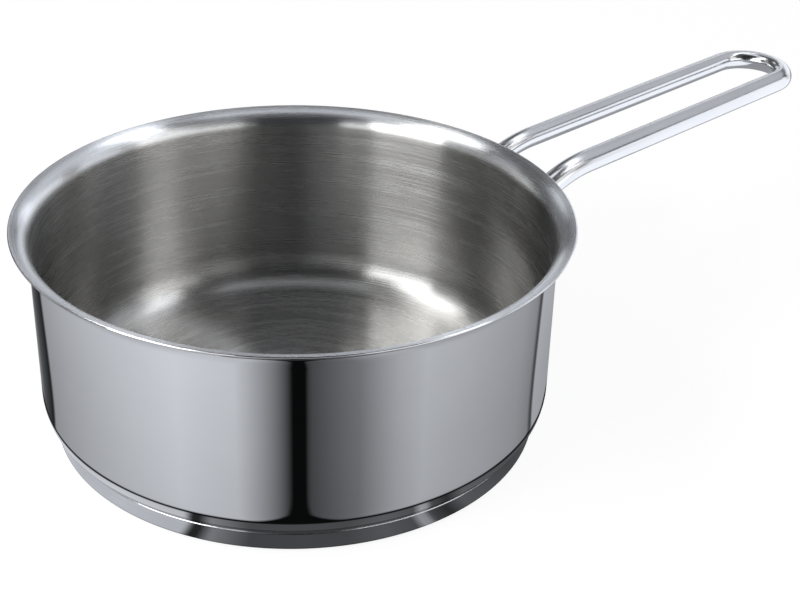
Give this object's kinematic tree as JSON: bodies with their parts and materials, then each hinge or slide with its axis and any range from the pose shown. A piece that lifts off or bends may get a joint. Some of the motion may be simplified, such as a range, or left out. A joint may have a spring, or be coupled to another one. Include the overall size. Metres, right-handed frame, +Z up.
{
  "type": "milk pan",
  "caption": "Small round stainless steel milk pan with a flared pouring rim, a capsule base with an aluminium core and a long welded loop handle bent from rod.",
  "frame": {"origin": "centre of the flat resting face, on the vessel's axis", "axes": "+Z up along the vessel's axis, +X towards the tip of the handle"},
  "size_m": [0.3345, 0.1724, 0.07],
  "materials": {
    "vessel_steel": "mirror polished outside, satin with fine circular brushing inside",
    "base_steel": "polished side, fine turned rings on the resting face",
    "core_aluminium": "rolled",
    "braze_filler": "dull, as brazed",
    "handle_steel": "polished rod",
    "weld_steel": "polished weld bead"
  },
  "bodies": {
    "root": {"vessel": "vessel_steel", "base_cap": "base_steel", "core_disc": "core_aluminium", "upper_braze_layer": "braze_filler", "lower_braze_layer": "braze_filler", "handle_loop": "handle_steel", "left_handle_weld": "weld_steel", "right_handle_weld": "weld_steel"}
  },
  "joints": []
}
